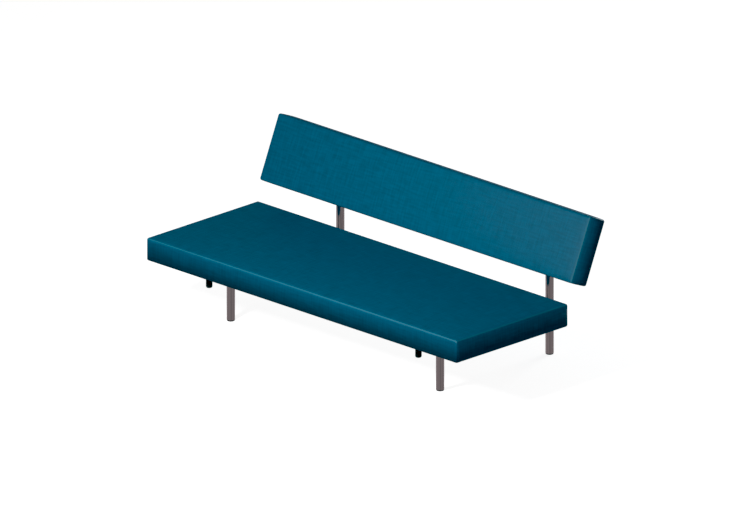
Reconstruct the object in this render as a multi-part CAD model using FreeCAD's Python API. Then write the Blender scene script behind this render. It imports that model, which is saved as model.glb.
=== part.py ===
import FreeCAD, Part
import math
import os

from FreeCAD import Placement, Rotation, Vector

# A slab sofa that opens into a bed: a padded seat slides on two side frames of tube legs,
# and a padded back slab leans on the rear posts.
# Sizes are in millimetres and angles in degrees.
# X runs along the seat, to the right seen from the front, -Y is the front and Z is up.
# The origin is on the floor under the middle of the object, with the seat pulled forward.

# Seat slab
seat_length = 2000.0
seat_depth = 720.0
seat_thickness = 110.0
seat_underside = 263.0
seat_crown = 4.0

# Back slab, whose height is measured up its slope
back_overhang = 5.0
back_height = 317.0
back_thickness = 110.0
back_crown = 4.0
back_tilt = 23.1
back_edge_behind_seat = 11.0
back_edge_above_seat = 98.0

# Layers of both slabs, from the outside inwards
edge_radius = 9.5
cloth_thickness = 1.5
wadding_thickness = 6.0
strap_thickness = 2.5
strap_width = 50.0
strap_count = 18
strap_landing = 22.5
layer_gap = 0.3
hem_width = 35.0
inner_radius = 1.0
crown_sections = 4
crown_at_ends = 0.2

# Timber frame of both slabs
timber_height = 38.0
long_rail_width = 30.0
member_width = 30.0
carrier_width = 70.0
frame_screw_length = 60.0
corner_block_size = 55.0
corner_block_height = 30.0

# Legs and posts
tube_diameter = 38.0
tube_wall = 2.0
leg_inset = 325.7
front_leg_setback = 219.4
glide_diameter = 36.0
glide_height = 5.0
glide_chamfer = 1.0
glide_stem = 15.0
plug_clearance = 0.1
plug_flange = 3.0
plug_stem = 25.0
neck_diameter = 14.0
leg_clearance = 7.0

# Rails between the legs
rail_width = 30.0
rail_height = 20.0
rail_wall = 2.0
rail_setback = 1.0
cross_rail_diameter = 25.0
cross_rail_wall = 2.0
cross_rail_drop = 21.0

# Runners under the seat and the shoes that they slide on
runner_wall = 2.0
runner_slot = 18.0
runner_front_gap = 2.0
runner_rear_inset = 20.0
lip_clearance = 1.0
slide_clearance = 0.3
shoe_thickness = 4.7
shoe_length = 50.0
shoe_rear_inset = 40.0

# Stop pegs
peg_diameter = 30.0
peg_setback = 80.0
peg_drop = 69.5
peg_round = 8.0
stop_flange_length = 40.0
stop_flange_thickness = 3.0

# Plates between the posts and the back slab
plate_thickness = 4.0
plate_margin = 12.0
plate_below_top = 80.2

# Screws and bolts
screw_diameter = 5.0
screw_head_diameter = 9.0
screw_head_height = 2.5
screw_head_clearance = 1.0
screw_edge_distance = 6.0
runner_screw_length = 25.0
runner_screw_count = 5
runner_screw_inset = 30.0
plate_screw_length = 30.0
plate_screw_spacing = 70.0
plate_screw_edge = 7.5
bolt_diameter = 8.0
bolt_head_diameter = 16.0
bolt_length = 50.0
stud_length = 60.0

# Sizes that follow from the ones above
tube_radius = tube_diameter / 2
peg_radius = peg_diameter / 2
leg_x = seat_length / 2 - leg_inset
back_length = seat_length + 2 * back_overhang
tilt = math.radians(back_tilt)
layer_inset = cloth_thickness + layer_gap
frame_inset = layer_inset + wadding_thickness + layer_gap
foam_base = layer_inset + timber_height + strap_thickness + layer_gap
runner_width = rail_width + 2 * (shoe_thickness + slide_clearance + runner_wall)
runner_height = rail_height + shoe_thickness + slide_clearance + lip_clearance + 2 * runner_wall
runner_underside = seat_underside - runner_height
web_underside = seat_underside - runner_wall
rail_underside = runner_underside + runner_wall + lip_clearance
rail_top = rail_underside + rail_height
leg_top = runner_underside - leg_clearance
cross_rail_height = leg_top - cross_rail_drop
peg_underside = seat_underside - peg_drop
mitre_length = tube_diameter / math.sin(tilt)

# The back slab's lowest front edge, counted from the seat's front face and the floor
back_edge_setback = seat_depth + back_edge_behind_seat
back_edge_height = seat_underside + seat_thickness + back_edge_above_seat
back_foot_setback = back_edge_setback + back_thickness * math.cos(tilt)
back_foot_height = back_edge_height - back_thickness * math.sin(tilt)

# The posts meet their plates at this reach up the back slab's slope
post_reach = back_height - plate_below_top
post_setback = back_foot_setback + post_reach * math.sin(tilt)

# The whole depth runs from the seat's front face to what lies furthest back: the round of the back
# slab's top rear edge, a plate's top edge or a post
slab_rear_setback = (
    back_edge_setback
    + (back_height - edge_radius) * math.sin(tilt)
    + (back_thickness - edge_radius) * math.cos(tilt)
    + edge_radius
)
plate_half_length = mitre_length / 2 + plate_margin
plate_rear_setback = (
    post_setback + plate_half_length * math.sin(tilt) + plate_thickness * math.cos(tilt)
)
overall_depth = max(slab_rear_setback, plate_rear_setback, post_setback + tube_radius)
front = -overall_depth / 2
leg_y = front + front_leg_setback
post_y = front + post_setback
peg_y = front + peg_setback
stop_peg_y = leg_y + tube_radius + slide_clearance + peg_radius
runner_front = peg_y + peg_radius + runner_front_gap
runner_rear = front + seat_depth - runner_rear_inset
seat_travel = leg_y - tube_radius - peg_y - peg_radius

sides = {"left": -1, "right": 1}
nodes = {}


def box(x0, x1, y0, y1, z0, z1):
    """A block between two corners."""
    return Part.makeBox(x1 - x0, y1 - y0, z1 - z0, Vector(x0, y0, z0))


def rod(diameter, x, y, z0, z1):
    """An upright round bar."""
    return Part.makeCylinder(diameter / 2, z1 - z0, Vector(x, y, z0))


def tube(diameter, wall, x, y, z0, z1):
    """An upright round tube."""
    return rod(diameter, x, y, z0, z1).cut(rod(diameter - 2 * wall, x, y, z0, z1))


def edges_at(shape, height):
    """The edges of a shape that lie flat at one height."""
    found = []
    for edge in shape.Edges:
        if all(abs(vertex.Z - height) < 0.001 for vertex in edge.Vertexes):
            found.append(edge)
    return found


def pan_screw(x, y, z, length):
    """A screw that points up, with its flat head under height z."""
    head = rod(screw_head_diameter, x, y, z - screw_head_height, z)
    return head.fuse(rod(screw_diameter, x, y, z, z + length)).removeSplitter()


def countersunk_bolt(x, y, z, length):
    """A bolt that points down, with its cone head flush at height z."""
    depth = (bolt_head_diameter - bolt_diameter) / 2
    head = Part.makeCone(bolt_diameter / 2, bolt_head_diameter / 2, depth, Vector(x, y, z - depth))
    return head.fuse(rod(bolt_diameter, x, y, z - length, z - depth)).removeSplitter()


def drill(name, fasteners):
    """Leaves the exact room for each fastener that reaches into a node."""
    nodes[name] = nodes[name].cut(Part.makeCompound(fasteners))


def slab_section(x, depth, thickness, rise):
    """One upright section of a slab: three straight sides and a top that swells by rise."""
    corners = [
        Vector(x, 0, thickness),
        Vector(x, 0, 0),
        Vector(x, depth, 0),
        Vector(x, depth, thickness),
    ]
    sides_and_base = [Part.makeLine(corners[i], corners[i + 1]) for i in range(3)]
    middle = Vector(x, depth / 2, thickness + rise)
    top = Part.Arc(corners[3], middle, corners[0]).toShape()
    return Part.Wire(sides_and_base + [top])


def crowned_block(length, depth, thickness, crown, radius):
    """A slab with round edges whose top swells from straight edges to a crown in the middle."""
    sections = []
    for i in range(-crown_sections, crown_sections + 1):
        along = i / crown_sections
        rise = crown_at_ends + (crown - crown_at_ends) * (1 - along * along)
        sections.append(slab_section(along * length / 2, depth, thickness, rise))
    block = Part.makeLoft(sections, True, False)
    return block.makeFillet(radius, block.Edges)


def nested_block(slab, inset, base, radius):
    """The slab's form drawn in by inset at its sides and top, standing on height base."""
    block = crowned_block(
        slab["length"] - 2 * inset,
        slab["depth"] - 2 * inset,
        slab["thickness"] - inset - base,
        slab["crown"],
        radius,
    )
    block.translate(Vector(0, inset, base))
    return block


def slab_cover(slab):
    """The woven cover, a closed skin with its hem turned under."""
    outside = nested_block(slab, 0, 0, edge_radius)
    inside_radius = edge_radius - cloth_thickness
    skin = outside.cut(nested_block(slab, cloth_thickness, cloth_thickness, inside_radius))
    half = slab["length"] / 2 - hem_width
    rear = slab["depth"] - hem_width
    return skin.cut(box(-half, half, hem_width, rear, -cloth_thickness, 2 * cloth_thickness))


def slab_closing_cloth(slab):
    """The thin cloth that closes the cover inside its hem."""
    half = slab["length"] / 2 - hem_width - layer_gap
    rear = slab["depth"] - hem_width - layer_gap
    return box(-half, half, hem_width + layer_gap, rear, 0, cloth_thickness)


def slab_wadding(slab):
    """The soft layer between cover and foam, round the sides and over the top."""
    outside = nested_block(slab, layer_inset, layer_inset, edge_radius - layer_inset)
    inset = layer_inset + wadding_thickness
    return outside.cut(nested_block(slab, inset, -timber_height, inner_radius))


def slab_foam(slab):
    """The foam core, which lies on the webbing."""
    return nested_block(slab, frame_inset, foam_base, inner_radius)


def slab_straps(slab):
    """Elastic straps stretched across the top of the timber frame."""
    first = -slab["length"] / 2 + frame_inset + member_width
    pitch = -2 * first / strap_count
    rear = slab["depth"] - frame_inset - long_rail_width + strap_landing
    base = layer_inset + timber_height
    straps = []
    for i in range(strap_count):
        x = first + (i + 0.5) * pitch
        strap = box(
            x - strap_width / 2,
            x + strap_width / 2,
            slab["depth"] - rear,
            rear,
            base,
            base + strap_thickness,
        )
        straps.append(strap)
    return straps


def slab_frame(slab):
    """The timber frame: two long rails, and members between them with a centre and a width."""
    half = slab["length"] / 2 - frame_inset
    rear = slab["depth"] - frame_inset
    top = layer_inset + timber_height
    end_x = half - member_width / 2
    members = {
        slab["end_name"] + "_left": (-end_x, member_width),
        slab["end_name"] + "_right": (end_x, member_width),
        slab["carrier_name"] + "_left": (-leg_x, carrier_width),
        slab["carrier_name"] + "_right": (leg_x, carrier_width),
        slab["middle_name"]: (0, member_width),
    }
    inner_front = frame_inset + long_rail_width
    inner_rear = rear - long_rail_width
    frame = {
        slab["front_name"]: box(-half, half, frame_inset, inner_front, layer_inset, top),
        slab["rear_name"]: box(-half, half, inner_rear, rear, layer_inset, top),
    }
    for name, (x, width) in members.items():
        frame[name] = box(x - width / 2, x + width / 2, inner_front, inner_rear, layer_inset, top)
    screw_places = []
    for x, width in members.values():
        screw_places += [x - width / 4, x + width / 4]
    return frame, screw_places


def corner_blocks(slab):
    """A glued three-cornered block in each corner of the timber frame."""
    half = slab["length"] / 2 - frame_inset - member_width
    low = frame_inset + long_rail_width
    high = slab["depth"] - low
    blocks = []
    for across in (-1, 1):
        for y, up in ((low, 1), (high, -1)):
            corner = Vector(across * half, y, layer_inset)
            beside = corner - Vector(across * corner_block_size, 0, 0)
            above = corner + Vector(0, up * corner_block_size, 0)
            face = Part.Face(Part.makePolygon([corner, beside, above, corner]))
            blocks.append(face.extrude(Vector(0, 0, corner_block_height)))
    return blocks


def frame_screws(slab, screw_places):
    """Two screws through each long rail into each end of a member, sunk flush in the rail."""
    screws = []
    height = layer_inset + timber_height / 2
    faces = [(frame_inset, -90), (slab["depth"] - frame_inset, 90)]
    for x in screw_places:
        for y, turn in faces:
            screw = pan_screw(0, 0, screw_head_height, frame_screw_length)
            screw.rotate(Vector(0, 0, 0), Vector(1, 0, 0), turn)
            screw.translate(Vector(x, y, height))
            screws.append(screw)
    return screws


def add_slab(slab, place):
    """Builds every layer of a slab in its own frame and puts it in its place."""
    frame, screw_places = slab_frame(slab)
    screws = frame_screws(slab, screw_places)
    pieces = {
        slab["name"] + "_cover": slab_cover(slab),
        slab["closing_name"]: slab_closing_cloth(slab),
        slab["name"] + "_wadding": slab_wadding(slab),
        slab["name"] + "_foam": slab_foam(slab),
        slab["name"] + "_webbing": Part.makeCompound(slab_straps(slab)),
        slab["name"] + "_corner_blocks": Part.makeCompound(corner_blocks(slab)),
        slab["name"] + "_frame_screws": Part.makeCompound(screws),
    }
    for name, member in frame.items():
        pieces[name] = member.cut(Part.makeCompound(screws))
    for name, piece in pieces.items():
        nodes[name] = place(piece)


def at_seat(shape):
    """Puts a shape made in the seat slab's own frame under the sitter."""
    placed = shape.copy()
    placed.translate(Vector(0, front, seat_underside))
    return placed


def at_back(shape):
    """Stands a shape made in the back slab's own frame on its lower edge and leans it back."""
    foot = Vector(0, front + back_foot_setback, back_foot_height)
    lean = Placement(foot, Rotation(Vector(1, 0, 0), 90 - back_tilt))
    placed = shape.copy()
    placed.transformShape(lean.toMatrix(), True)
    return placed


def foot_glide(x, y):
    """A plastic foot with a stem pressed into the tube."""
    foot = rod(glide_diameter, x, y, 0, glide_height)
    foot = foot.makeChamfer(glide_chamfer, edges_at(foot, 0))
    stem_diameter = tube_diameter - 2 * (tube_wall + plug_clearance)
    stem = rod(stem_diameter, x, y, glide_height, glide_height + glide_stem)
    return foot.fuse(stem).removeSplitter()


def leg_plug(x, bolt):
    """The plug in a front leg's top, with a flange and a neck up to the side rail."""
    stem_diameter = tube_diameter - 2 * (tube_wall + plug_clearance)
    flange_underside = leg_top - plug_flange
    stem = rod(stem_diameter, x, leg_y, flange_underside - plug_stem, flange_underside)
    flange = rod(tube_diameter, x, leg_y, flange_underside, leg_top)
    neck = rod(neck_diameter, x, leg_y, leg_top, rail_underside)
    return stem.fuse([flange, neck]).removeSplitter().cut(bolt)


def side_rail(x, bolt):
    """The square tube from front leg to rear post, cut to the round of the post."""
    start = leg_y - tube_radius + rail_setback
    half = rail_width / 2
    outside = box(x - half, x + half, start, post_y, rail_underside, rail_top)
    inside = box(
        x - half + rail_wall,
        x + half - rail_wall,
        start,
        post_y,
        rail_underside + rail_wall,
        rail_top - rail_wall,
    )
    post = rod(tube_diameter, x, post_y, 0, seat_underside)
    return outside.cut(inside).cut(post).cut(bolt)


def rail_shoe(x, y0):
    """The plastic shoe that caps a side rail, grooved where the runner screws pass."""
    half = rail_width / 2
    y1 = y0 + shoe_length
    top = rail_top + shoe_thickness
    groove_half = screw_head_diameter / 2 + screw_head_clearance
    groove_floor = web_underside - screw_head_height - screw_head_clearance
    skirt = rail_underside + rail_wall
    shoe = box(x - half - shoe_thickness, x + half + shoe_thickness, y0, y1, skirt, top)
    rail = box(x - half, x + half, y0, y1, skirt, rail_top)
    groove = box(x - groove_half, x + groove_half, y0, y1, groove_floor, top)
    return shoe.cut(rail).cut(groove)


def cross_rail(y):
    """A round tube between the two side frames, cut to the round of the legs."""
    along = Vector(1, 0, 0)
    start = Vector(-leg_x, y, cross_rail_height)
    outside = Part.makeCylinder(cross_rail_diameter / 2, 2 * leg_x, start, along)
    inside = Part.makeCylinder(cross_rail_diameter / 2 - cross_rail_wall, 2 * leg_x, start, along)
    legs = [rod(tube_diameter, sign * leg_x, y, 0, seat_underside) for sign in sides.values()]
    return outside.cut(inside).cut(Part.makeCompound(legs))


def rear_post(x):
    """A rear post, mitred at its top to the slant of the back slab's plate."""
    post = tube(tube_diameter, tube_wall, x, post_y, glide_height, back_edge_height + back_height)
    half = back_length / 2
    beyond = box(-half, half, -back_height, 2 * back_height, -plate_thickness, half)
    return post.cut(at_back(beyond))


def back_plate(x):
    """The slanted plate on a post's mitre, in the back slab's own frame."""
    half_width = carrier_width / 2
    low = post_reach - plate_half_length
    high = post_reach + plate_half_length
    return box(x - half_width, x + half_width, low, high, -plate_thickness, 0)


def plate_screws(x):
    """Four screws through a plate into the upright behind it, in the back slab's own frame."""
    across = carrier_width / 2 - plate_screw_edge
    along = plate_screw_spacing / 2
    screws = []
    for dx in (-across, across):
        for dy in (-along, along):
            screw = pan_screw(x + dx, post_reach + dy, -plate_thickness, plate_screw_length)
            screws.append(screw)
    return screws


def runner(x):
    """The channel that wraps a side rail, with its two lips turned in under it."""
    half = runner_width / 2
    outside = box(x - half, x + half, runner_front, runner_rear, runner_underside, seat_underside)
    inside = box(
        x - half + runner_wall,
        x + half - runner_wall,
        runner_front,
        runner_rear,
        runner_underside + runner_wall,
        web_underside,
    )
    slot_half = runner_slot / 2
    slot = box(x - slot_half, x + slot_half, runner_front, runner_rear, runner_underside, rail_top)
    return outside.cut(inside).cut(slot)


def runner_screws(x):
    """The row of screws through a runner's web into the seat frame."""
    first = runner_front + runner_screw_inset
    last = runner_rear - runner_screw_inset
    pitch = (last - first) / (runner_screw_count - 1)
    screws = []
    for i in range(runner_screw_count):
        screws.append(pan_screw(x, first + i * pitch, web_underside, runner_screw_length))
    return screws


def front_peg(x):
    """The peg near the seat's front edge, which meets the leg when the seat is pushed back."""
    peg = rod(peg_diameter, x, peg_y, peg_underside, seat_underside)
    return peg.makeFillet(peg_round, edges_at(peg, peg_underside))


def peg_stud(x):
    """The threaded stud between a front peg and the seat frame."""
    middle = seat_underside
    return rod(bolt_diameter, x, peg_y, middle - stud_length / 2, middle + stud_length / 2)


def stop_peg(x):
    """The peg behind the front leg, on a flange under the runner's lips."""
    flange_underside = runner_underside - stop_flange_thickness
    peg = rod(peg_diameter, x, stop_peg_y, peg_underside, flange_underside)
    peg = peg.makeFillet(peg_round, edges_at(peg, peg_underside))
    half_width = runner_width / 2
    half_length = stop_flange_length / 2
    flange = box(
        x - half_width,
        x + half_width,
        stop_peg_y - half_length,
        stop_peg_y + half_length,
        flange_underside,
        runner_underside,
    )
    return peg.fuse(flange).removeSplitter()


def stop_peg_screws(x):
    """Four short screws through a stop peg's flange and the lips above it."""
    across = runner_width / 2 - screw_edge_distance
    along = stop_flange_length / 2 - screw_edge_distance
    head_seat = runner_underside - stop_flange_thickness
    screws = []
    for dx in (-across, across):
        for dy in (-along, along):
            length = stop_flange_thickness + runner_wall
            screws.append(pan_screw(x + dx, stop_peg_y + dy, head_seat, length))
    return screws


seat_slab = {
    "name": "seat",
    "length": seat_length,
    "depth": seat_depth,
    "thickness": seat_thickness,
    "crown": seat_crown,
    "front_name": "seat_front_rail",
    "rear_name": "seat_rear_rail",
    "end_name": "seat_end_member",
    "carrier_name": "seat_runner_member",
    "middle_name": "seat_middle_member",
    "closing_name": "seat_dust_cloth",
}
back_slab = {
    "name": "back",
    "length": back_length,
    "depth": back_height,
    "thickness": back_thickness,
    "crown": back_crown,
    "front_name": "back_bottom_rail",
    "rear_name": "back_top_rail",
    "end_name": "back_end_upright",
    "carrier_name": "back_post_upright",
    "middle_name": "back_middle_upright",
    "closing_name": "back_rear_cloth",
}

# The two slabs
add_slab(seat_slab, at_seat)
add_slab(back_slab, at_back)

# The side frames, and what the seat carries over each of them
shoe_starts = {
    "front": leg_y - tube_radius + rail_setback,
    "rear": runner_rear - shoe_rear_inset - shoe_length,
}
leg_bolts = []
all_plate_screws = []
all_runner_screws = []
peg_studs = []
all_stop_peg_screws = []
for side, sign in sides.items():
    x = sign * leg_x
    bolt = countersunk_bolt(x, leg_y, rail_top, bolt_length)
    leg_bolts.append(bolt)
    nodes["front_leg_" + side] = tube(
        tube_diameter, tube_wall, x, leg_y, glide_height, leg_top - plug_flange
    )
    nodes["rear_post_" + side] = rear_post(x)
    nodes["front_glide_" + side] = foot_glide(x, leg_y)
    nodes["rear_glide_" + side] = foot_glide(x, post_y)
    nodes["leg_plug_" + side] = leg_plug(x, bolt)
    nodes["side_rail_" + side] = side_rail(x, bolt)
    for end, start in shoe_starts.items():
        nodes["rail_shoe_" + end + "_" + side] = rail_shoe(x, start)

    screws = [at_back(screw) for screw in plate_screws(x)]
    all_plate_screws += screws
    nodes["back_plate_" + side] = at_back(back_plate(x))
    drill("back_plate_" + side, screws)
    drill("back_post_upright_" + side, screws)
    drill("back_rear_cloth", screws)

    screws = runner_screws(x)
    stud = peg_stud(x)
    all_runner_screws += screws
    peg_studs.append(stud)
    nodes["runner_" + side] = runner(x)
    nodes["front_peg_" + side] = front_peg(x)
    drill("runner_" + side, screws)
    drill("front_peg_" + side, [stud])
    drill("seat_runner_member_" + side, screws + [stud])
    drill("seat_dust_cloth", screws + [stud])

    screws = stop_peg_screws(x)
    all_stop_peg_screws += screws
    nodes["stop_peg_" + side] = stop_peg(x)
    drill("stop_peg_" + side, screws)
    drill("runner_" + side, screws)

nodes["leg_bolts"] = Part.makeCompound(leg_bolts)
nodes["back_plate_screws"] = Part.makeCompound(all_plate_screws)
nodes["runner_screws"] = Part.makeCompound(all_runner_screws)
nodes["peg_studs"] = Part.makeCompound(peg_studs)
nodes["stop_peg_screws"] = Part.makeCompound(all_stop_peg_screws)

# The cross rails
nodes["front_cross_rail"] = cross_rail(leg_y)
nodes["rear_cross_rail"] = cross_rail(post_y)

os.makedirs("parts", exist_ok=True)
for name, shape in nodes.items():
    shape.exportStep("parts/" + name + ".step")
    if not shape.isValid():
        print("not valid:", name)
print(len(nodes), "nodes, seat travel", round(seat_travel, 2), "mm, depth", round(overall_depth, 2), "mm")
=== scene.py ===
import math

import bmesh
import bpy
import numpy as np
from mathutils import Matrix, Vector


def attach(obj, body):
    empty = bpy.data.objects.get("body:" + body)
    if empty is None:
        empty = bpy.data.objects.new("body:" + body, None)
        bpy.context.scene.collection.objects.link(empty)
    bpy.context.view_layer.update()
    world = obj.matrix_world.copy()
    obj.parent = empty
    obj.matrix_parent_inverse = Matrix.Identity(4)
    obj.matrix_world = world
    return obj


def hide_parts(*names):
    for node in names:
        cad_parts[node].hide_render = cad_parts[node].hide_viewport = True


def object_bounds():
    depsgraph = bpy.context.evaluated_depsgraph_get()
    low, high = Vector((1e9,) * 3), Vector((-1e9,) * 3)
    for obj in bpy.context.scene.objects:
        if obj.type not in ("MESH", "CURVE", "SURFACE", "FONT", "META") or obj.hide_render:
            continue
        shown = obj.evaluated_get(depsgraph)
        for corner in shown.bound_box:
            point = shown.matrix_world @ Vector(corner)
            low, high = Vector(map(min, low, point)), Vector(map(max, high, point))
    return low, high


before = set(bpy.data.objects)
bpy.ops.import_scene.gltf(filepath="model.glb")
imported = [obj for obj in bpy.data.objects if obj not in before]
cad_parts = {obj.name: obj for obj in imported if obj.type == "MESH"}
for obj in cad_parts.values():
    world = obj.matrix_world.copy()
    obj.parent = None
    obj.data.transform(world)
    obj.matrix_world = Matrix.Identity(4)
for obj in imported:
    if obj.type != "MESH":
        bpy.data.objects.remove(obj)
cad_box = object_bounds()

# A slab sofa that opens into a bed. Two padded slabs in petrol blue woven wool, a seat that slides
# and a back that leans, are carried by chromed tube legs and black steel rails.
# Sizes are in metres, angles in degrees and colours in sRGB hex.
# Each slab is made in its own frame: X along it, Y across it and Z out of its upholstered face.

MM = 0.001

# Points nearer than this to a line or a side count as lying on it
CLOSE = 0.01 * MM

# The side of a block that faces down: its axis, and whether it is the far one
UNDERSIDE = (2, False)

# How far the back slab leans over from lying flat
BACK_LEAN = 90 - 23.1

# The cover and the padding under it
SLAB_THICKNESS = 110 * MM
EDGE_RADIUS = 9.5 * MM
EDGE_SLACK = 0.1 * MM
CLOTH_THICKNESS = 1.4 * MM
HEM_WIDTH = 35 * MM
PATCH_SIZE = 19 * MM
SIDE_SWELL = 2.5 * MM
PAD_PRESSURE = 6
SWELL_LIMIT = 4 * MM
CLOTH_FRAMES = 20
SEAM_DEPTH = 1.3 * MM
SEAM_STEP = 2.2 * MM

# How strongly the sides are shaded as a soft roll, from 0, which is flat
ROLL = 1.0

# Where the painted highlight on the bend of an edge begins, in shares of its radius, and how fast that
# grows
HIGHLIGHT_START = 0.01
HIGHLIGHT_GAIN = 3

# The layers that the cover hides
LAYER_PATCH = 45 * MM
WADDING_THICKNESS = 5.5 * MM
FOAM_RADIUS = 4 * MM
STRAP_SAG = 4 * MM
STRAP_PARTS = 24

# The cloths that close the slabs underneath and behind
SHEET_PATCH = 18 * MM
SHEET_INSET = 21 * MM
SHEET_PROUD = 0.9 * MM
SHEET_SAG = 2.5 * MM
SHEET_LIFT = 0.3 * MM
FITTING_LIFT = 0.2 * MM
DUST_CLOTH_THICKNESS = 0.5 * MM

# Stitches and staples
STITCH_LENGTH = 3.8 * MM
STITCH_PITCH = 5 * MM
THREAD_WIDTH = 0.9 * MM
THREAD_HEIGHT = 0.7 * MM
STITCH_SETBACK = 5 * MM
SLIP_STITCH_PITCH = 8 * MM
STAPLE_WIDTH = 10 * MM
STAPLE_WIRE = 1.2 * MM
STAPLE_HEIGHT = 0.7 * MM
STAPLE_PITCH = 42 * MM
STAPLE_SETBACK = 7 * MM
FITTING_MARGIN = 8 * MM
PATH_CLEARANCE = 10 * MM

# The camera stands at the photograph's angle and sees without perspective
CAMERA_AZIMUTH = 45
CAMERA_ELEVATION = 19.47
CAMERA_DISTANCE = 6
VIEW_WIDTH = 3.418
AIM_SIDEWAYS = -1.8 * MM
AIM_UPWARD = -0.8 * MM

# The studio: a soft lamp in front and one behind, a weak one on the bright floor, and even air
LAMP_PLACE = (0.28, -3.6, 2.65)
LAMP_SIZE = 0.7
LAMP_POWER = 140
REAR_LAMP_PLACE = (0, 5, 0.75)
REAR_LAMP_SIZE = 2.0
REAR_LAMP_POWER = 120
FLOOR_LAMP_PLACE = (0, 0, 0.004)
FLOOR_LAMP_SIZE = 3.0
FLOOR_LAMP_POWER = 30
AIR_LIGHT = 0.145
FLOOR_REACH = 9
FLOOR_GLOW = 0.88
WHITE = (1, 1, 1, 1)

# The light that the picture still shows as black, in red, green and blue
SHADOW_TONE = (0.031, 0.0146, 0.0146)

# What the chrome mirrors: a warm grey surround. Each swing says how far the level swings, how
# often in a whole turn, and from which angle.
MIRROR_TINT = (1, 0.885, 0.9, 1)
MIRROR_LEVEL = 0.248
MIRROR_SWINGS = [(0.035, 1, 160), (0.03, 5, 0)]

# Nearly all of a noise lies between these values
GRAIN_LOW = 0.3
GRAIN_HIGH = 0.7

# The colour sockets of a Mix node, which has a set of sockets for each kind of value
MIX_DARK = 6
MIX_LIGHT = 7
MIX_TONE = 2


def linear(hex_colour):
    """An sRGB hex colour as the linear values that a shader takes."""
    channels = [int(hex_colour[i : i + 2], 16) / 255 for i in (1, 3, 5)]
    low = [value / 12.92 for value in channels]
    high = [((value + 0.055) / 1.055) ** 2.4 for value in channels]
    return [a if value <= 0.04045 else b for value, a, b in zip(channels, low, high)] + [1]


def add(tree, kind, settings=None, inputs=None):
    """Adds a node with its settings, and fills or links its inputs by name or number.

    A node that is given as an input stands for its first output.
    """
    node = tree.nodes.new(kind)
    for name, value in (settings or {}).items():
        setattr(node, name, value)
    for name, value in (inputs or {}).items():
        if isinstance(value, bpy.types.Node):
            value = value.outputs[0]
        if isinstance(value, bpy.types.NodeSocket):
            tree.links.new(value, node.inputs[name])
        else:
            node.inputs[name].default_value = value
    return node


def new_material(name, colour, roughness, constants=None):
    """A material with one shader, its output and the values that are the same all over."""
    material = bpy.data.materials.new(name)
    material.use_nodes = True
    tree = material.node_tree
    tree.nodes.clear()
    inputs = {"Base Color": linear(colour), "Roughness": roughness}
    inputs.update(constants or {})
    shader = add(tree, "ShaderNodeBsdfPrincipled", inputs=inputs)
    add(tree, "ShaderNodeOutputMaterial", inputs={"Surface": shader})
    return material, tree, shader


def grains(tree, place, size, detail=3.0):
    """Cloudy grains from 0 to 1, as large as one size says, or one for each axis."""
    sizes = size if isinstance(size, tuple) else (size, size, size)
    inputs = {"Vector": place, "Scale": [1 / length for length in sizes]}
    stretched = add(tree, "ShaderNodeMapping", inputs=inputs)
    inputs = {"Vector": stretched, "Scale": 1.0, "Detail": detail}
    return add(tree, "ShaderNodeTexNoise", inputs=inputs)


def two_tone(tree, shader, share, dark, light):
    """Colours a surface between two tones, as a pattern from 0 to 1 says."""
    inputs = {"Factor": share, MIX_DARK: linear(dark), MIX_LIGHT: linear(light)}
    tone = add(tree, "ShaderNodeMix", {"data_type": "RGBA"}, inputs).outputs[MIX_TONE]
    tree.links.new(tone, shader.inputs["Base Color"])
    return tone


def uneven_gloss(tree, shader, pattern, shiny, dull, low=GRAIN_LOW, high=GRAIN_HIGH):
    """Makes a surface shiny where a pattern is low and dull where it is high."""
    inputs = {"Value": pattern, "From Min": low, "From Max": high, "To Min": shiny, "To Max": dull}
    rough = add(tree, "ShaderNodeMapRange", inputs=inputs)
    tree.links.new(rough.outputs["Result"], shader.inputs["Roughness"])


def relief(tree, shader, *layers):
    """Relief from pairs of a height pattern and the real depth in metres of its full range."""
    normal = None
    for height, depth in layers:
        inputs = {"Height": height, "Distance": depth, "Strength": 1.0}
        if normal:
            inputs["Normal"] = normal
        normal = add(tree, "ShaderNodeBump", inputs=inputs)
    tree.links.new(normal.outputs["Normal"], shader.inputs["Normal"])


def plain_weave(tree, place, pitch):
    """The height of a plain weave, from 0 to 1: threads both ways that go over and under in turn."""
    parts = add(tree, "ShaderNodeSeparateXYZ", inputs={"Vector": place}).outputs
    waves = []
    for axis in ("X", "Y"):
        inputs = {0: parts[axis], 1: math.pi / pitch}
        turn = add(tree, "ShaderNodeMath", {"operation": "MULTIPLY"}, inputs)
        waves.append(add(tree, "ShaderNodeMath", {"operation": "SINE"}, {0: turn}))
    crossing = add(tree, "ShaderNodeMath", {"operation": "MULTIPLY"}, {0: waves[0], 1: waves[1]})
    over = add(tree, "ShaderNodeMath", {"operation": "GREATER_THAN"}, {0: crossing, 1: 0.0})
    under = add(tree, "ShaderNodeMath", {"operation": "SUBTRACT"}, {0: 1.0, 1: over})
    ridges = [add(tree, "ShaderNodeMath", {"operation": "ABSOLUTE"}, {0: wave}) for wave in waves]
    upper = add(tree, "ShaderNodeMath", {"operation": "MULTIPLY"}, {0: ridges[0], 1: over})
    inputs = {0: ridges[1], 1: under, 2: upper}
    return add(tree, "ShaderNodeMath", {"operation": "MULTIPLY_ADD"}, inputs)


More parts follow.
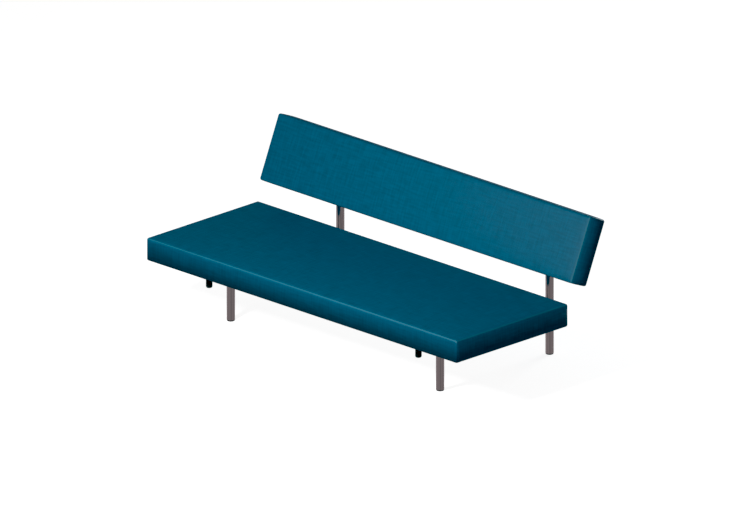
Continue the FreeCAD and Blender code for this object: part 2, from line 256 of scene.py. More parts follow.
def woven_wool():
    """Piece-dyed plain woven wool: matt with a broad soft gleam, even in colour, fine slubs both ways, and
    a painted highlight as a thin paler line along the front edges.
    """
    material, tree, shader = new_material("woven_wool", "#005F7E", 0.57)
    place = add(tree, "ShaderNodeUVMap", {"uv_map": "cloth"})
    # Slubs are 2 to 3 mm thick in the yarn. They are drawn 9 mm wide so that they show.
    slub_width, slub_length = 9 * MM, 90 * MM
    across = grains(tree, place, (slub_width, slub_length, 1))
    along = grains(tree, place, (slub_length, slub_width, 1))
    crossed = add(tree, "ShaderNodeMath", {"operation": "ADD"}, {0: across, 1: along})
    inputs = {"Value": crossed, "From Min": 0.72, "From Max": 1.28}
    slubs = add(tree, "ShaderNodeMapRange", inputs=inputs)
    plain = two_tone(tree, shader, slubs, "#005874", "#006788")
    # A painted highlight: a thin paler line is painted along the front edges.
    #  It is painted fainter where the slubs are dark.
    inputs = {"Value": slubs, "From Min": -0.5, "From Max": 1.5, "To Min": 0.7, "To Max": 1.0}
    uneven = add(tree, "ShaderNodeMapRange", inputs=inputs)
    worn = add(tree, "ShaderNodeAttribute", {"attribute_name": "worn"}).outputs["Fac"]
    rubbed_and_highlight = add(tree, "ShaderNodeMath", {"operation": "MULTIPLY"}, {0: worn, 1: uneven})
    inputs = {"Factor": rubbed_and_highlight, MIX_DARK: plain, MIX_LIGHT: linear("#3C8096")}
    tone = add(tree, "ShaderNodeMix", {"data_type": "RGBA"}, inputs).outputs[MIX_TONE]
    tree.links.new(tone, shader.inputs["Base Color"])
    # The thread spacing is 1.3 mm, as in a medium upholstery wool
    weave = plain_weave(tree, place, 1.3 * MM)
    fuzz = grains(tree, place, (3 * MM, 3 * MM, 1))
    relief(tree, shader, (weave, 0.12 * MM), (fuzz, 0.1 * MM))
    return material


def polyester_thread():
    """Corespun polyester sewing thread in the cloth's colour: round and a little glossy."""
    material, tree, shader = new_material("polyester_thread", "#1A6C88", 0.45)
    place = add(tree, "ShaderNodeTexCoord").outputs["Object"]
    twist = grains(tree, place, 0.6 * MM)
    relief(tree, shader, (twist, 0.1 * MM))
    return material


def spun_dust_cloth():
    """Charcoal spunbonded cloth: matt, with an even grain of tiny fused dots."""
    material, tree, shader = new_material("spun_dust_cloth", "#3F4042", 0.85)
    place = add(tree, "ShaderNodeTexCoord").outputs["Object"]
    dots = add(tree, "ShaderNodeTexVoronoi", inputs={"Vector": place, "Scale": 1 / (1.6 * MM)})
    fibres = grains(tree, place, 4 * MM)
    two_tone(tree, shader, fibres, "#37383A", "#48494B")
    relief(tree, shader, (dots, 0.1 * MM))
    return material


def polyester_wadding():
    """White polyester wadding: loose crimped fibres, matt and cloudy."""
    material, tree, shader = new_material("polyester_wadding", "#E9E8E2", 0.95)
    place = add(tree, "ShaderNodeTexCoord").outputs["Object"]
    clouds = grains(tree, place, 25 * MM)
    fibres = grains(tree, place, 2 * MM, 5.0)
    two_tone(tree, shader, clouds, "#DEDDD6", "#F2F1EC")
    relief(tree, shader, (clouds, 2 * MM), (fibres, 0.8 * MM))
    return material


def cut_foam():
    """Cut polyurethane foam: pale yellow, matt, with open cells."""
    material, tree, shader = new_material("cut_polyurethane_foam", "#E6D9A8", 0.9)
    place = add(tree, "ShaderNodeTexCoord").outputs["Object"]
    cells = add(tree, "ShaderNodeTexVoronoi", inputs={"Vector": place, "Scale": 1 / (1.2 * MM)})
    two_tone(tree, shader, cells, "#CDBD85", "#ECE0B4")
    relief(tree, shader, (cells, 0.5 * MM))
    return material


def elastic_webbing():
    """Elastic webbing: rubber threads in a ribbed polypropylene weave, brown and dull."""
    material, tree, shader = new_material("elastic_webbing", "#4A3A2C", 0.75)
    place = add(tree, "ShaderNodeTexCoord").outputs["Object"]
    parts = add(tree, "ShaderNodeSeparateXYZ", inputs={"Vector": place}).outputs
    rib_pitch = 2.5 * MM
    inputs = {0: parts["X"], 1: 2 * math.pi / rib_pitch}
    turn = add(tree, "ShaderNodeMath", {"operation": "MULTIPLY"}, inputs)
    wave = add(tree, "ShaderNodeMath", {"operation": "SINE"}, {0: turn})
    ribs = add(tree, "ShaderNodeMapRange", inputs={"Value": wave, "From Min": -1.0})
    two_tone(tree, shader, ribs, "#2C221A", "#5E4A38")
    relief(tree, shader, (ribs, 0.4 * MM))
    return material


def planed_beech():
    """Planed steamed beech: pinkish brown, satin, with long grain and short dark flecks."""
    material, tree, shader = new_material("planed_beech", "#B98A5A", 0.5)
    place = add(tree, "ShaderNodeTexCoord").outputs["Object"]
    grain = grains(tree, place, (250 * MM, 6 * MM, 6 * MM), 6.0)
    flecks = grains(tree, place, (9 * MM, 1.2 * MM, 1.2 * MM), 2.0)
    inputs = {"Value": flecks, "From Min": 0.3, "From Max": 0.5}
    sharp = add(tree, "ShaderNodeMapRange", inputs=inputs)
    inputs = {0: sharp, 1: 0.35, 2: grain}
    both = add(tree, "ShaderNodeMath", {"operation": "MULTIPLY_ADD"}, inputs)
    figure = add(tree, "ShaderNodeMapRange", inputs={"Value": both, "From Min": 0.4})
    two_tone(tree, shader, figure, "#96683F", "#C99B6B")
    uneven_gloss(tree, shader, flecks, 0.4, 0.6, low=0.0, high=1.0)
    relief(tree, shader, (flecks, 0.1 * MM))
    return material


def chromed_tube():
    """Chrome plated steel tube: a warm grey mirror with faint drawing lines along the tube."""
    material, tree, shader = new_material("chromed_steel_tube", "#E0D3D4", 0.12, {"Metallic": 1.0})
    place = add(tree, "ShaderNodeTexCoord").outputs["Object"]
    lines = grains(tree, place, (1.5 * MM, 1.5 * MM, 300 * MM))
    haze = grains(tree, place, 40 * MM)
    uneven_gloss(tree, shader, haze, 0.09, 0.17)
    relief(tree, shader, (lines, 0.015 * MM))
    return material


def powder_coat():
    """Black powder coated steel: satin, with a fine orange peel."""
    material, tree, shader = new_material("powder_coated_steel", "#141415", 0.42)
    place = add(tree, "ShaderNodeTexCoord").outputs["Object"]
    peel = grains(tree, place, 1.8 * MM, 1.0)
    rubbed_and_highlight = grains(tree, place, 60 * MM)
    two_tone(tree, shader, rubbed_and_highlight, "#111112", "#1A1A1B")
    uneven_gloss(tree, shader, rubbed_and_highlight, 0.36, 0.5)
    relief(tree, shader, (peel, 0.06 * MM))
    return material


def turned_steel():
    """Turned mild steel, oiled: grey with fine rings round the plug."""
    material, tree, shader = new_material("turned_steel", "#8C8C8A", 0.35, {"Metallic": 1.0})
    place = add(tree, "ShaderNodeTexCoord").outputs["Object"]
    rings = grains(tree, place, (30 * MM, 30 * MM, 0.5 * MM))
    uneven_gloss(tree, shader, rings, 0.28, 0.45)
    relief(tree, shader, (rings, 0.03 * MM))
    return material


def zinc_plate():
    """Blue passivated zinc plate: pale grey metal, cloudy and a little blue."""
    material, tree, shader = new_material("zinc_plated_steel", "#B4B6BC", 0.3, {"Metallic": 1.0})
    place = add(tree, "ShaderNodeTexCoord").outputs["Object"]
    clouds = grains(tree, place, 3 * MM)
    two_tone(tree, shader, clouds, "#A6A9B0", "#C3C5CA")
    uneven_gloss(tree, shader, clouds, 0.24, 0.4)
    return material


def moulded_nylon():
    """Black injection moulded nylon: near black, with a fine spark-eroded grain."""
    material, tree, shader = new_material("moulded_nylon", "#060606", 0.55)
    place = add(tree, "ShaderNodeTexCoord").outputs["Object"]
    grain = grains(tree, place, 0.4 * MM)
    uneven_gloss(tree, shader, grain, 0.42, 0.6)
    relief(tree, shader, (grain, 0.03 * MM))
    return material


def moulded_rubber():
    """Black moulded rubber: fully matt, with faint dust in its grain."""
    material, tree, shader = new_material("moulded_rubber", "#070707", 0.8)
    place = add(tree, "ShaderNodeTexCoord").outputs["Object"]
    dust = grains(tree, place, 12 * MM)
    grain = grains(tree, place, 0.8 * MM)
    two_tone(tree, shader, dust, "#050505", "#0B0B0B")
    relief(tree, shader, (grain, 0.05 * MM))
    return material


def pale_floor():
    """A bright seamless studio floor: it glows evenly, so that shadows on it stay faint."""
    constants = {"Emission Color": WHITE, "Emission Strength": FLOOR_GLOW}
    material, tree, shader = new_material("pale_floor", "#B4B4B4", 0.9, constants)
    place = add(tree, "ShaderNodeTexCoord").outputs["Object"]
    two_tone(tree, shader, grains(tree, place, 300 * MM), "#B1B1B1", "#B7B7B7")
    # Seen from below it is clear, so that it doesn't hide the underside
    below = add(tree, "ShaderNodeNewGeometry").outputs["Backfacing"]
    clear = add(tree, "ShaderNodeBsdfTransparent")
    seen = add(tree, "ShaderNodeMixShader", inputs={0: below, 1: shader, 2: clear})
    output = next(node for node in tree.nodes if node.type == "OUTPUT_MATERIAL")
    tree.links.new(seen.outputs["Shader"], output.inputs["Surface"])
    return material


materials = {
    "woven_wool": woven_wool(),
    "dust_cloth": spun_dust_cloth(),
    "wadding": polyester_wadding(),
    "foam": cut_foam(),
    "elastic_webbing": elastic_webbing(),
    "beech": planed_beech(),
    "chromed_tube": chromed_tube(),
    "black_steel": powder_coat(),
    "plain_steel": turned_steel(),
    "zinc_steel": zinc_plate(),
    "moulded_plastic": moulded_nylon(),
    "black_rubber": moulded_rubber(),
}
thread = polyester_thread()
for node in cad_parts.values():
    for place, used in enumerate(node.data.materials):
        node.data.materials[place] = materials[used.name.split(".")[0]]


def mesh_object(name, mesh):
    """A new object in the scene."""
    made = bpy.data.objects.new(name, mesh)
    bpy.context.scene.collection.objects.link(made)
    return made


def settled(piece):
    """Turns an object, as its modifiers leave it, into a plain mesh object of the same name."""
    graph = bpy.context.evaluated_depsgraph_get()
    mesh = bpy.data.meshes.new_from_object(piece.evaluated_get(graph))
    name = piece.name
    bpy.data.objects.remove(piece)
    return mesh_object(name, mesh)


def thicken(piece, thickness, smoothness=0):
    """Gives a skin its thickness, inwards, and divides it smoothly as often as asked."""
    solid = piece.modifiers.new("thickness", "SOLIDIFY")
    solid.thickness = thickness
    solid.offset = -1
    if smoothness:
        smooth = piece.modifiers.new("smooth", "SUBSURF")
        smooth.levels = smooth.render_levels = smoothness
    return settled(piece)


def finish_piece(piece, slab, slot, replaced=(), material=None, roll=False):
    """Puts a piece made in a slab's frame in its place, dresses it and hides the CAD parts that it
    replaces.
    """
    if roll:
        roll_sides(piece.data, slab["size"])
    else:
        piece.data.shade_smooth()
    piece.data.transform(slab["place"])
    piece.data.materials.clear()
    piece.data.materials.append(material or materials[slot])
    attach(piece, slab["body"])
    if replaced:
        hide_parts(*replaced)
    return piece


def corners(points):
    """The lowest and the highest corner round some points."""
    low = Vector(min(point[axis] for point in points) for axis in range(3))
    high = Vector(max(point[axis] for point in points) for axis in range(3))
    return low, high


def read_slab(name, body, lean, closing, carried):
    """A slab's frame and size, measured on its CAD cover."""
    turn = Matrix.Rotation(math.radians(lean), 4, "X")
    back = turn.inverted()
    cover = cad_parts[name + "_cover"]
    low, high = corners([back @ vertex.co for vertex in cover.data.vertices])
    return {
        "name": name,
        "body": body,
        "closing": closing,
        "carried": carried,
        "size": Vector((high.x - low.x, high.y - low.y, SLAB_THICKNESS)),
        "crown": high.z - low.z - SLAB_THICKNESS,
        "place": Matrix.Translation(turn @ Vector((0, low.y, low.z))) @ turn,
    }


def node_box(slab, node):
    """The corners of a CAD node in a slab's own frame."""
    back = slab["place"].inverted()
    return corners([back @ vertex.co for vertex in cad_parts[node].data.vertices])


def grid_lines(side, radius, patch):
    """Where the grid of a side runs: close together round an edge and by the seam, even between."""
    bend = [radius * (1 - math.tan(math.radians(angle))) for angle in (45, 30, 15, 0)]
    bend += [radius + SEAM_STEP, radius + 3 * SEAM_STEP]
    flat = side - 2 * bend[-1]
    count = max(2, round(flat / patch))
    even = [bend[-1] + flat * step / count for step in range(1, count)]
    return bend + even + [side - value for value in reversed(bend)]


def rounded_block(size, radius, patch):
    """The points and squares of a block with round edges, with the side that each square is on."""
    grid = [grid_lines(side, radius, patch) for side in size]
    numbers = {}
    points = []
    squares = []
    facing = []

    def corner(place):
        if place not in numbers:
            flat = Vector(grid[axis][place[axis]] for axis in range(3))
            core = Vector(min(max(flat[i], radius), size[i] - radius) for i in range(3))
            numbers[place] = len(points)
            outward = (flat - core).normalized() * radius
            points.append(core + outward - Vector((size.x / 2, 0, 0)))
        return numbers[place]

    for axis in range(3):
        second, third = (axis + 1) % 3, (axis + 2) % 3
        for end in (0, len(grid[axis]) - 1):
            for a in range(len(grid[second]) - 1):
                for b in range(len(grid[third]) - 1):
                    square = []
                    for da, db in ((0, 0), (1, 0), (1, 1), (0, 1)):
                        place = [0, 0, 0]
                        place[axis], place[second], place[third] = end, a + da, b + db
                        square.append(corner(tuple(place)))
                    squares.append(square if end else square[::-1])
                    facing.append((axis, end > 0))
    return points, squares, facing


def arch(share):
    """A low arch: 0 at shares 0 and 1, and 1 half way."""
    return max(0.0, 1 - (2 * share - 1) ** 2)


def swell(point, size, crown):
    """Lifts the upholstered face to its crown and rounds the sides out between their edges."""
    along, across, up = point.x / size.x + 0.5, point.y / size.y, point.z / size.z
    moved = point.copy()
    if point.z > size.z / 2:
        moved.z += crown * arch(along) * arch(across)
    # The root of an arch rises fast at its ends and is nearly level between
    if size.x / 2 - abs(point.x) < CLOSE:
        moved.x += math.copysign(SIDE_SWELL * arch(across) ** 0.5 * arch(up), point.x)
    if min(point.y, size.y - point.y) < CLOSE:
        outward = 1 if across > 0.5 else -1
        moved.y += outward * SIDE_SWELL * arch(along) ** 0.25 * arch(up)
    return moved


def cloth_place(point, side, size):
    """Where a point lies on the flat cloth: along the slab, and up its sides and over its face."""
    axis, far = side
    if axis == 0:
        return point.y, point.z
    if axis == 1:
        return point.x, point.z
    return point.x, size.z + point.y if far else -point.y


def lay_cloth(mesh, points, facing, size):
    """Maps a slab's skin to the flat cloth."""
    layer = mesh.uv_layers.new(name="cloth")
    for polygon, side in zip(mesh.polygons, facing):
        for loop in polygon.loop_indices:
            place = points[mesh.loops[loop].vertex_index]
            layer.data[loop].uv = cloth_place(place, side, size)


def roll_sides(mesh, size):
    """Shades the sides as a soft roll: the long ones lean to the hem, the ends to the face."""
    mesh.shade_smooth()
    normals = []
    for vertex in mesh.vertices:
        normal = vertex.normal.copy()
        height = min(max(vertex.co.z / size.z, 0), 1)
        lean = abs(normal.x) * height - abs(normal.y) * (1 - height)
        normals.append((normal + Vector((0, 0, ROLL * lean))).normalized())
    mesh.normals_split_custom_set_from_vertices(normals)


def edge_highlight(point, size):
    """How strong the painted highlight is at a point: most along the middle of the front and end edges."""
    from_face = size.z - point.z
    from_front = min(point.y, size.x / 2 - abs(point.x))
    turned = min(from_face, from_front) / EDGE_RADIUS
    reach = max(from_face, from_front)
    if reach > EDGE_RADIUS or turned < HIGHLIGHT_START:
        return 0.0
    return min(1.0, HIGHLIGHT_GAIN * turned)


def inflate(piece, held):
    """Blows a skin up a little as simulated cloth, with some of its points held."""
    group = piece.vertex_groups.new(name="held")
    group.add(held, 1.0, "REPLACE")
    cloth = piece.modifiers.new("padding", "CLOTH")
    cloth.settings.use_pressure = True
    cloth.settings.uniform_pressure_force = PAD_PRESSURE
    cloth.settings.effector_weights.gravity = 0
    cloth.settings.vertex_group_mass = "held"
    cloth.point_cache.frame_start = 1
    cloth.point_cache.frame_end = CLOTH_FRAMES
    start = np.empty(len(piece.data.vertices) * 3)
    piece.data.vertices.foreach_get("co", start)
    for step in range(1, CLOTH_FRAMES + 1):
        bpy.context.scene.frame_set(step)
    graph = bpy.context.evaluated_depsgraph_get()
    blown = np.empty_like(start)
    piece.evaluated_get(graph).to_mesh().vertices.foreach_get("co", blown)
    piece.modifiers.remove(cloth)
    bpy.context.scene.frame_set(1)
    moved = (blown - start).reshape(-1, 3)
    length = np.linalg.norm(moved, axis=1, keepdims=True)
    kept = moved * SWELL_LIMIT / (SWELL_LIMIT + length)
    piece.data.vertices.foreach_set("co", start + kept.ravel())


def remove_faces(mesh, numbers):
    """Takes some faces out of a mesh, and the points that only they used."""
    work = bmesh.new()
    work.from_mesh(mesh)
    work.faces.ensure_lookup_table()
    doomed = [work.faces[number] for number in numbers]
    bmesh.ops.delete(work, geom=doomed, context="FACES")
    work.to_mesh(mesh)
    work.free()


def sort_points(points, size):
    """The points of a cover that the padding leaves in place, and those on the seams of its ends."""
    held = []
    seam = []
    for number, point in enumerate(points):
        from_end = size.x / 2 - abs(point.x)
        from_side = min(point.y, size.y - point.y)
        from_face = min(point.z, size.z - point.z)
        near = [gap < EDGE_RADIUS + EDGE_SLACK for gap in (from_end, from_side, from_face)]
        if sum(near) > 1 or point.z < EDGE_RADIUS + EDGE_SLACK:
            held.append(number)
        from_top = size.z - point.z
        from_seam = min(abs(from_side - EDGE_RADIUS), abs(from_top - EDGE_RADIUS))
        within = min(from_side, from_top) > EDGE_RADIUS - EDGE_SLACK
        if from_end < CLOSE and from_seam < CLOSE and within:
            seam.append(number)
    return held, seam


def upholstery(slab):
    """The woven cover of a slab: one closed skin with sewn ends and its hem turned under."""
    size = slab["size"]
    half = size.x / 2
    points, squares, facing = rounded_block(size, EDGE_RADIUS, PATCH_SIZE)
    held, seam = sort_points(points, size)
    mesh = bpy.data.meshes.new(slab["name"])
    mesh.from_pydata([swell(point, size, slab["crown"]) for point in points], [], squares)
    lay_cloth(mesh, points, facing, size)
    # The painted highlight along the front and end edges, kept on the points for the cloth's material
    worn = mesh.attributes.new("worn", "FLOAT", "POINT")
    worn.data.foreach_set("value", [edge_highlight(point, size) for point in points])
    piece = mesh_object(slab["name"] + "_upholstery", mesh)
    inflate(piece, held)
    for number in seam:
        mesh.vertices[number].co.x *= 1 - SEAM_DEPTH / half
    opening = []
    for polygon, side in zip(mesh.polygons, facing):
        centre = polygon.center
        from_rim = min(half - abs(centre.x), centre.y, size.y - centre.y)
        if side == UNDERSIDE and from_rim > HEM_WIDTH:
            opening.append(polygon.index)
    remove_faces(mesh, opening)
    piece = thicken(piece, CLOTH_THICKNESS, 1)
    finish_piece(piece, slab, "woven_wool", [slab["name"] + "_cover"], roll=True)
    return piece


def inner_layer(slab, node, name, slot, radius, thickness=None):
    """A layer under the cover in its CAD node's space: a closed block, or a skin with no base."""
    low, high = node_box(slab, node)
    size = high - low
    size.z -= slab["crown"]
    points, squares, facing = rounded_block(size, radius, LAYER_PATCH)
    lifted = []
    for point in points:
        rise = slab["crown"] * arch(point.x / size.x + 0.5) * arch(point.y / size.y)
        lift = rise if point.z > size.z / 2 else 0
        lifted.append(point + Vector((0, low.y, low.z + lift)))
    mesh = bpy.data.meshes.new(name)
    mesh.from_pydata(lifted, [], squares)
    if thickness:
        remove_faces(mesh, [i for i, side in enumerate(facing) if side == UNDERSIDE])
    piece = mesh_object(slab["name"] + "_" + name, mesh)
    if thickness:
        piece = thicken(piece, thickness)
    finish_piece(piece, slab, slot, [node])
    return piece


def webbing(slab):
    """The elastic straps under the foam, each hanging a little between the rails."""
    node = slab["name"] + "_webbing"
    low, high = node_box(slab, node)
    back = slab["place"].inverted()
    found = {round((back @ vertex.co).x, 4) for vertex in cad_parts[node].data.vertices}
    edges = sorted(found)
    points = []
    squares = []
    for left, right in zip(edges[0::2], edges[1::2]):
        start = len(points)
        for part in range(STRAP_PARTS + 1):
            share = part / STRAP_PARTS
            y = low.y + share * (high.y - low.y)
            z = high.z - STRAP_SAG * arch(share) ** 2
            points += [(left, y, z), ((left + right) / 2, y, z), (right, y, z)]
        for part in range(STRAP_PARTS):
            for side in (0, 1):
                first = start + 3 * part + side
                squares.append((first, first + 1, first + 4, first + 3))
    mesh = bpy.data.meshes.new(node)
    mesh.from_pydata(points, [], squares)
    piece = thicken(mesh_object(slab["name"] + "_straps", mesh), high.z - low.z)
    return finish_piece(piece, slab, "elastic_webbing", [node])


def cross_members(slab):
    """The boxes of the timber members that run across a slab."""
    names = [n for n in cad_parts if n.startswith(slab["name"])]
    names = [n for n in names if "_member" in n or "_upright" in n]
    return [node_box(slab, name) for name in names]


def sheet_height(place, shares, hem, spans, fittings):
    """How high a closing cloth lies: out on the hem, sagging between members and in at fittings."""
    (x, y), (along, across) = place, shares
    over_hem = min(along, 1 - along, across, 1 - across) < hem
    z = -SHEET_PROUD if over_hem else SHEET_LIFT
    for left, right in spans:
        if left < x < right:
            z -= SHEET_SAG * arch((x - left) / (right - left)) * arch(across)
    for low, high in fittings:
        beside = max(low.x - x, x - high.x, low.y - y, y - high.y)
        if beside < FITTING_MARGIN:
            z = max(z, FITTING_LIFT)
    return z


def closing_cloth(slab, name, slot, thickness):
    """The cloth that closes a slab: its edge lies over the hem, and it gives way to what is screwed on."""
    size = slab["size"]
    width, depth = size.x - 2 * SHEET_INSET, size.y - 2 * SHEET_INSET
    columns, rows = round(width / SHEET_PATCH), round(depth / SHEET_PATCH)
    fittings = [node_box(slab, node) for node in slab["carried"]]
    members = sorted((low.x, high.x) for low, high in cross_members(slab))
    spans = [(left, right) for (_, left), (right, _) in zip(members, members[1:])]
    # The share of the cloth, from each of its edges, that lies over the hem
    hem = (HEM_WIDTH - SHEET_INSET) / depth
    points = []
    for row in range(rows + 1):
        for column in range(columns + 1):
            shares = column / columns, row / rows
            x = -width / 2 + width * column / columns
            y = SHEET_INSET + depth * row / rows
            points.append((x, y, sheet_height((x, y), shares, hem, spans, fittings)))
    squares = []
    for row in range(rows):
        for column in range(columns):
            first = row * (columns + 1) + column
            above = first + columns + 1
            squares.append((first, above, above + 1, first + 1))
    mesh = bpy.data.meshes.new(name)
    mesh.from_pydata(points, [], squares)
    layer = mesh.uv_layers.new(name="cloth")
    for loop in mesh.loops:
        layer.data[loop.index].uv = points[loop.vertex_index][:2]
    piece = thicken(mesh_object(name, mesh), thickness, 1)
    finish_piece(piece, slab, slot, [slab["closing"]])
    return piece


def row_tree(name, stamp, material):
    """A node tree that sets a small stamp along paths, one to each pitch, flat on a surface."""
    tree = bpy.data.node_groups.new(name, "GeometryNodeTree")
    wanted = [
        ("Path", "NodeSocketGeometry"),
        ("Pitch", "NodeSocketFloat"),
        ("Size", "NodeSocketVector"),
        ("Outward", "NodeSocketVector"),
        ("Surface", "NodeSocketObject"),
    ]
    for label, kind in wanted:
        tree.interface.new_socket(name=label, in_out="INPUT", socket_type=kind)
    tree.interface.new_socket(name="Row", in_out="OUTPUT", socket_type="NodeSocketGeometry")
    given = add(tree, "NodeGroupInput").outputs
    path = add(tree, "GeometryNodeMeshToCurve", inputs={"Mesh": given["Path"]})
    settings = {"mode": "LENGTH"}
    inputs = {"Curve": path.outputs["Curve"], "Length": given["Pitch"]}
    places = add(tree, "GeometryNodeCurveToPoints", settings, inputs)
    surface = add(tree, "GeometryNodeObjectInfo", inputs={"Object": given["Surface"]})
    inputs = {"Geometry": surface.outputs["Geometry"]}
    nearest = add(tree, "GeometryNodeProximity", {"target_element": "FACES"}, inputs)
    nearest_place = nearest.outputs["Position"]
    inputs = {"Geometry": places.outputs["Points"], "Position": nearest_place}
    seated = add(tree, "GeometryNodeSetPosition", inputs=inputs)
    inputs = {"Vector": places.outputs["Tangent"]}
    along = add(tree, "FunctionNodeAlignRotationToVector", {"axis": "X"}, inputs)
    settings = {"axis": "Z", "pivot_axis": "X"}
    inputs = {"Rotation": along.outputs["Rotation"], "Vector": given["Outward"]}
    upright = add(tree, "FunctionNodeAlignRotationToVector", settings, inputs)
    shape = add(tree, stamp[0], inputs=stamp[1])
    inputs = {"Geometry": shape.outputs["Mesh"], "Scale": given["Size"]}
    sized = add(tree, "GeometryNodeTransform", inputs=inputs)
    inputs = {
        "Points": seated.outputs["Geometry"],
        "Instance": sized.outputs["Geometry"],
        "Rotation": upright.outputs["Rotation"],
    }
    row = add(tree, "GeometryNodeInstanceOnPoints", inputs=inputs)
    inputs = {"Geometry": row.outputs["Instances"]}
    real = add(tree, "GeometryNodeRealizeInstances", inputs=inputs)
    inputs = {"Geometry": real.outputs["Geometry"], "Material": material}
    dressed = add(tree, "GeometryNodeSetMaterial", inputs=inputs)
    add(tree, "NodeGroupOutput", inputs={"Row": dressed.outputs["Geometry"]})
    return tree


def row_along(slab, name, paths, kind, outward, surface):
    """A row of stitches or staples along open paths of a slab's own frame, laid on a surface."""
    points = []
    edges = []
    for path in paths:
        edges += [(len(points) + i, len(points) + i + 1) for i in range(len(path) - 1)]
        points += [slab["place"] @ Vector(point) for point in path]
    mesh = bpy.data.meshes.new(name)
    mesh.from_pydata(points, edges, [])
    piece = mesh_object(name, mesh)
    modifier = piece.modifiers.new("row", "NODES")
    modifier.node_group = kind["tree"]
    values = {"Pitch": kind["pitch"], "Size": kind["size"], "Outward": outward, "Surface": surface}
    for item in kind["tree"].interface.items_tree:
        if item.name in values:
            modifier[item.identifier] = values[item.name]
    # The row already lies in the object's frame
    laid = dict(slab, place=Matrix.Identity(4))
    return finish_piece(settled(piece), laid, kind["slot"], material=kind["material"])


def end_paths(slab):
    """The line of stitches inside the seam of each end."""
    size = slab["size"]
    inset = EDGE_RADIUS + STITCH_SETBACK
    low, high, top = inset, size.y - inset, size.z - inset
    paths = []
    for side in (-1, 1):
        x = side * (size.x / 2 + PATH_CLEARANCE)
        paths.append([(x, low, HEM_WIDTH / 2), (x, low, top), (x, high, top), (x, high, HEM_WIDTH / 2)])
    return paths


def hem_paths(slab, inset):
    """Lines round the hem, broken where something is screwed over it."""
    size = slab["size"]
    half, rear = size.x / 2 - inset, size.y - inset
    z = -PATH_CLEARANCE
    paths = [[(-half, inset, z), (-half, rear, z)], [(half, inset, z), (half, rear, z)]]
    fittings = [node_box(slab, node) for node in slab["carried"]]
    for y in (inset, rear):
        gaps = []
        for low, high in fittings:
            if low.y - FITTING_MARGIN < y < high.y + FITTING_MARGIN:
                gaps.append((low.x - FITTING_MARGIN, high.x + FITTING_MARGIN))
        start = -half
        for left, right in sorted(gaps):
            paths.append([(start, y, z), (left, y, z)])
            start = right
        paths.append([(start, y, z), (half, y, z)])
    return paths


slabs = {
    "seat": read_slab(
        "seat",
        body="seat",
        lean=0,
        closing="seat_dust_cloth",
        carried=["runner_left", "runner_right", "front_peg_left", "front_peg_right"],
    ),
    "back": read_slab(
        "back",
        body="base",
        lean=BACK_LEAN,
        closing="back_rear_cloth",
        carried=["back_plate_left", "back_plate_right"],
    ),
}
sphere = ("GeometryNodeMeshUVSphere", {"Segments": 8, "Rings": 6, "Radius": 0.5})
block = ("GeometryNodeMeshCube", {"Size": (1, 1, 1)})
end_stitches = {
    "tree": row_tree("stitches", sphere, thread),
    "pitch": STITCH_PITCH,
    "size": (STITCH_LENGTH, THREAD_WIDTH, THREAD_HEIGHT),
    "slot": "woven_wool",
    "material": thread,
}
slip_stitches = dict(end_stitches, pitch=SLIP_STITCH_PITCH)
staples = {
    "tree": row_tree("staples", block, materials["zinc_steel"]),
    "pitch": STAPLE_PITCH,
    "size": (STAPLE_WIDTH, STAPLE_WIRE, STAPLE_HEIGHT),
    "slot": "zinc_steel",
    "material": materials["zinc_steel"],
}

covers = []
for slab in slabs.values():
    title = slab["name"]
    cover = upholstery(slab)
    covers.append(cover)
    inner_layer(slab, title + "_wadding", "batting", "wadding", EDGE_RADIUS, WADDING_THICKNESS)
    inner_layer(slab, title + "_foam", "foam_core", "foam", FOAM_RADIUS)
    webbing(slab)
    row_along(slab, title + "_end_stitches", end_paths(slab), end_stitches, (1, 0, 0), cover)

seat, back = slabs["seat"], slabs["back"]
under = closing_cloth(seat, "seat_under_cloth", "dust_cloth", DUST_CLOTH_THICKNESS)
behind = closing_cloth(back, "back_outer_cloth", "woven_wool", CLOTH_THICKNESS)
staple_paths = hem_paths(seat, SHEET_INSET + STAPLE_SETBACK)
stapled = row_along(seat, "seat_staples", staple_paths, staples, (0, 0, -1), under)
stapled.data.shade_flat()
rearward = back["place"].to_3x3() @ Vector((0, 0, -1))
slip_paths = hem_paths(back, SHEET_INSET)
row_along(back, "back_slip_stitches", slip_paths, slip_stitches, rearward, behind)


def add_lamp(name, place, size, power):
    """A soft square lamp that faces the object and isn't seen itself."""
    lamp = bpy.data.objects.new(name, bpy.data.lights.new(name, "AREA"))
    lamp.data.size = size
    lamp.data.energy = power
    lamp.location = place
    middle = (cad_box[0] + cad_box[1]) / 2
    lamp.rotation_euler = (middle - lamp.location).to_track_quat("-Z", "Y").to_euler()
    lamp.visible_camera = False
    bpy.context.scene.collection.objects.link(lamp)
    return lamp


def light_only(lamp, pieces, state):
    """Makes a lamp light only some pieces, or all but them."""
    lit = bpy.data.collections.new(lamp.name + "_light")
    for piece in pieces:
        lit.objects.link(piece)
    for entry in lit.collection_objects:
        entry.light_linking.link_state = state
    lamp.light_linking.receiver_collection = lit


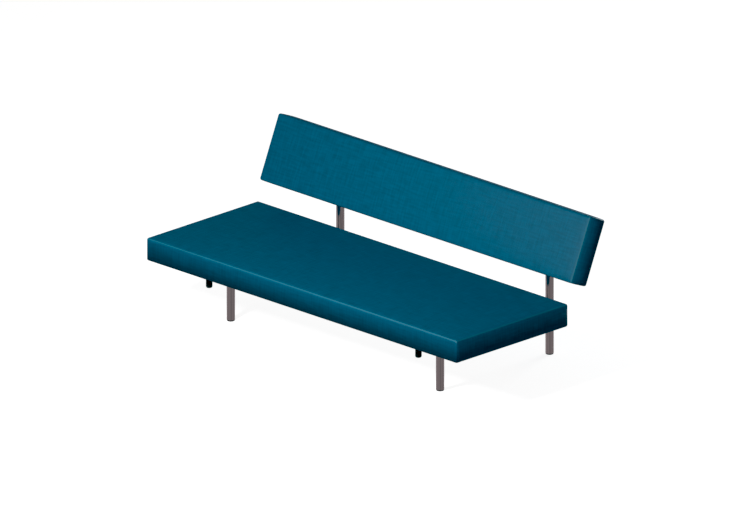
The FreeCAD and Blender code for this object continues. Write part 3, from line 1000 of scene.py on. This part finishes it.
def studio():
    """The floor, the lamps, the light in the air and the tones of the picture."""
    scene = bpy.context.scene
    mesh = bpy.data.meshes.new("floor")
    reach = FLOOR_REACH
    rim = [(-reach, -reach, 0), (reach, -reach, 0), (reach, reach, 0), (-reach, reach, 0)]
    mesh.from_pydata(rim, [], [(0, 1, 2, 3)])
    mesh.materials.append(pale_floor())
    floor = mesh_object("floor", mesh)
    floor.visible_diffuse = False
    floor.visible_glossy = False
    # The front lamp is two in one: the covers get its light without shadows, the rest with them
    cloth_lamp = add_lamp("cloth_lamp", LAMP_PLACE, LAMP_SIZE, LAMP_POWER)
    cloth_lamp.data.use_shadow = False
    light_only(cloth_lamp, covers, "INCLUDE")
    frame_lamp = add_lamp("frame_lamp", LAMP_PLACE, LAMP_SIZE, LAMP_POWER)
    light_only(frame_lamp, covers, "EXCLUDE")
    add_lamp("rear_lamp", REAR_LAMP_PLACE, REAR_LAMP_SIZE, REAR_LAMP_POWER)
    # The pale floor throws light back up under the seat, where the camera doesn't look
    floor_lamp = add_lamp("floor_lamp", FLOOR_LAMP_PLACE, FLOOR_LAMP_SIZE, FLOOR_LAMP_POWER)
    floor_lamp.visible_glossy = False
    light_only(floor_lamp, covers, "EXCLUDE")
    scene.world = air()
    scene.view_settings.view_transform = "Standard"
    scene.view_settings.use_curve_mapping = True
    scene.view_settings.curve_mapping.black_level = SHADOW_TONE
    scene.view_settings.curve_mapping.update()


def air():
    """Even light from all round, seen white, with a soft grey surround for the chrome to mirror."""
    world = bpy.data.worlds.new("studio")
    world.use_nodes = True
    tree = world.node_tree
    tree.nodes.clear()
    seen = add(tree, "ShaderNodeBackground", inputs={"Color": WHITE, "Strength": 1.0})
    lit = add(tree, "ShaderNodeBackground", inputs={"Color": WHITE, "Strength": AIR_LIGHT})
    way = add(tree, "ShaderNodeTexCoord").outputs["Generated"]
    parts = add(tree, "ShaderNodeSeparateXYZ", inputs={"Vector": way}).outputs
    angle = add(tree, "ShaderNodeMath", {"operation": "ARCTAN2"}, {0: parts["Y"], 1: parts["X"]})
    level = MIRROR_LEVEL
    for swing, turns, start in MIRROR_SWINGS:
        inputs = {0: angle, 1: turns, 2: -math.radians(start)}
        turned = add(tree, "ShaderNodeMath", {"operation": "MULTIPLY_ADD"}, inputs)
        wave = add(tree, "ShaderNodeMath", {"operation": "COSINE"}, {0: turned})
        inputs = {0: wave, 1: swing, 2: level}
        level = add(tree, "ShaderNodeMath", {"operation": "MULTIPLY_ADD"}, inputs)
    inputs = {"Color": MIRROR_TINT, "Strength": level}
    mirrored = add(tree, "ShaderNodeBackground", inputs=inputs)
    path = add(tree, "ShaderNodeLightPath").outputs
    inputs = {0: path["Is Glossy Ray"], 1: lit, 2: mirrored}
    around = add(tree, "ShaderNodeMixShader", inputs=inputs)
    inputs = {0: path["Is Camera Ray"], 1: around, 2: seen}
    both = add(tree, "ShaderNodeMixShader", inputs=inputs)
    add(tree, "ShaderNodeOutputWorld", inputs={"Surface": both})
    return world


def place_camera():
    """Stands the camera at the photograph's angle, aimed at the middle of the object."""
    camera = bpy.data.objects.new("camera", bpy.data.cameras.new("camera"))
    camera.data.type = "ORTHO"
    camera.data.ortho_scale = VIEW_WIDTH
    turn, rise = math.radians(CAMERA_AZIMUTH), math.radians(CAMERA_ELEVATION)
    level = math.cos(rise)
    outward = Vector((math.sin(turn) * level, -math.cos(turn) * level, math.sin(rise)))
    camera.rotation_euler = (-outward).to_track_quat("-Z", "Y").to_euler()
    aim = camera.rotation_euler.to_matrix() @ Vector((AIM_SIDEWAYS, AIM_UPWARD, CAMERA_DISTANCE))
    camera.location = (cad_box[0] + cad_box[1]) / 2 + aim
    bpy.context.scene.collection.objects.link(camera)
    bpy.context.scene.camera = camera


studio()
place_camera()
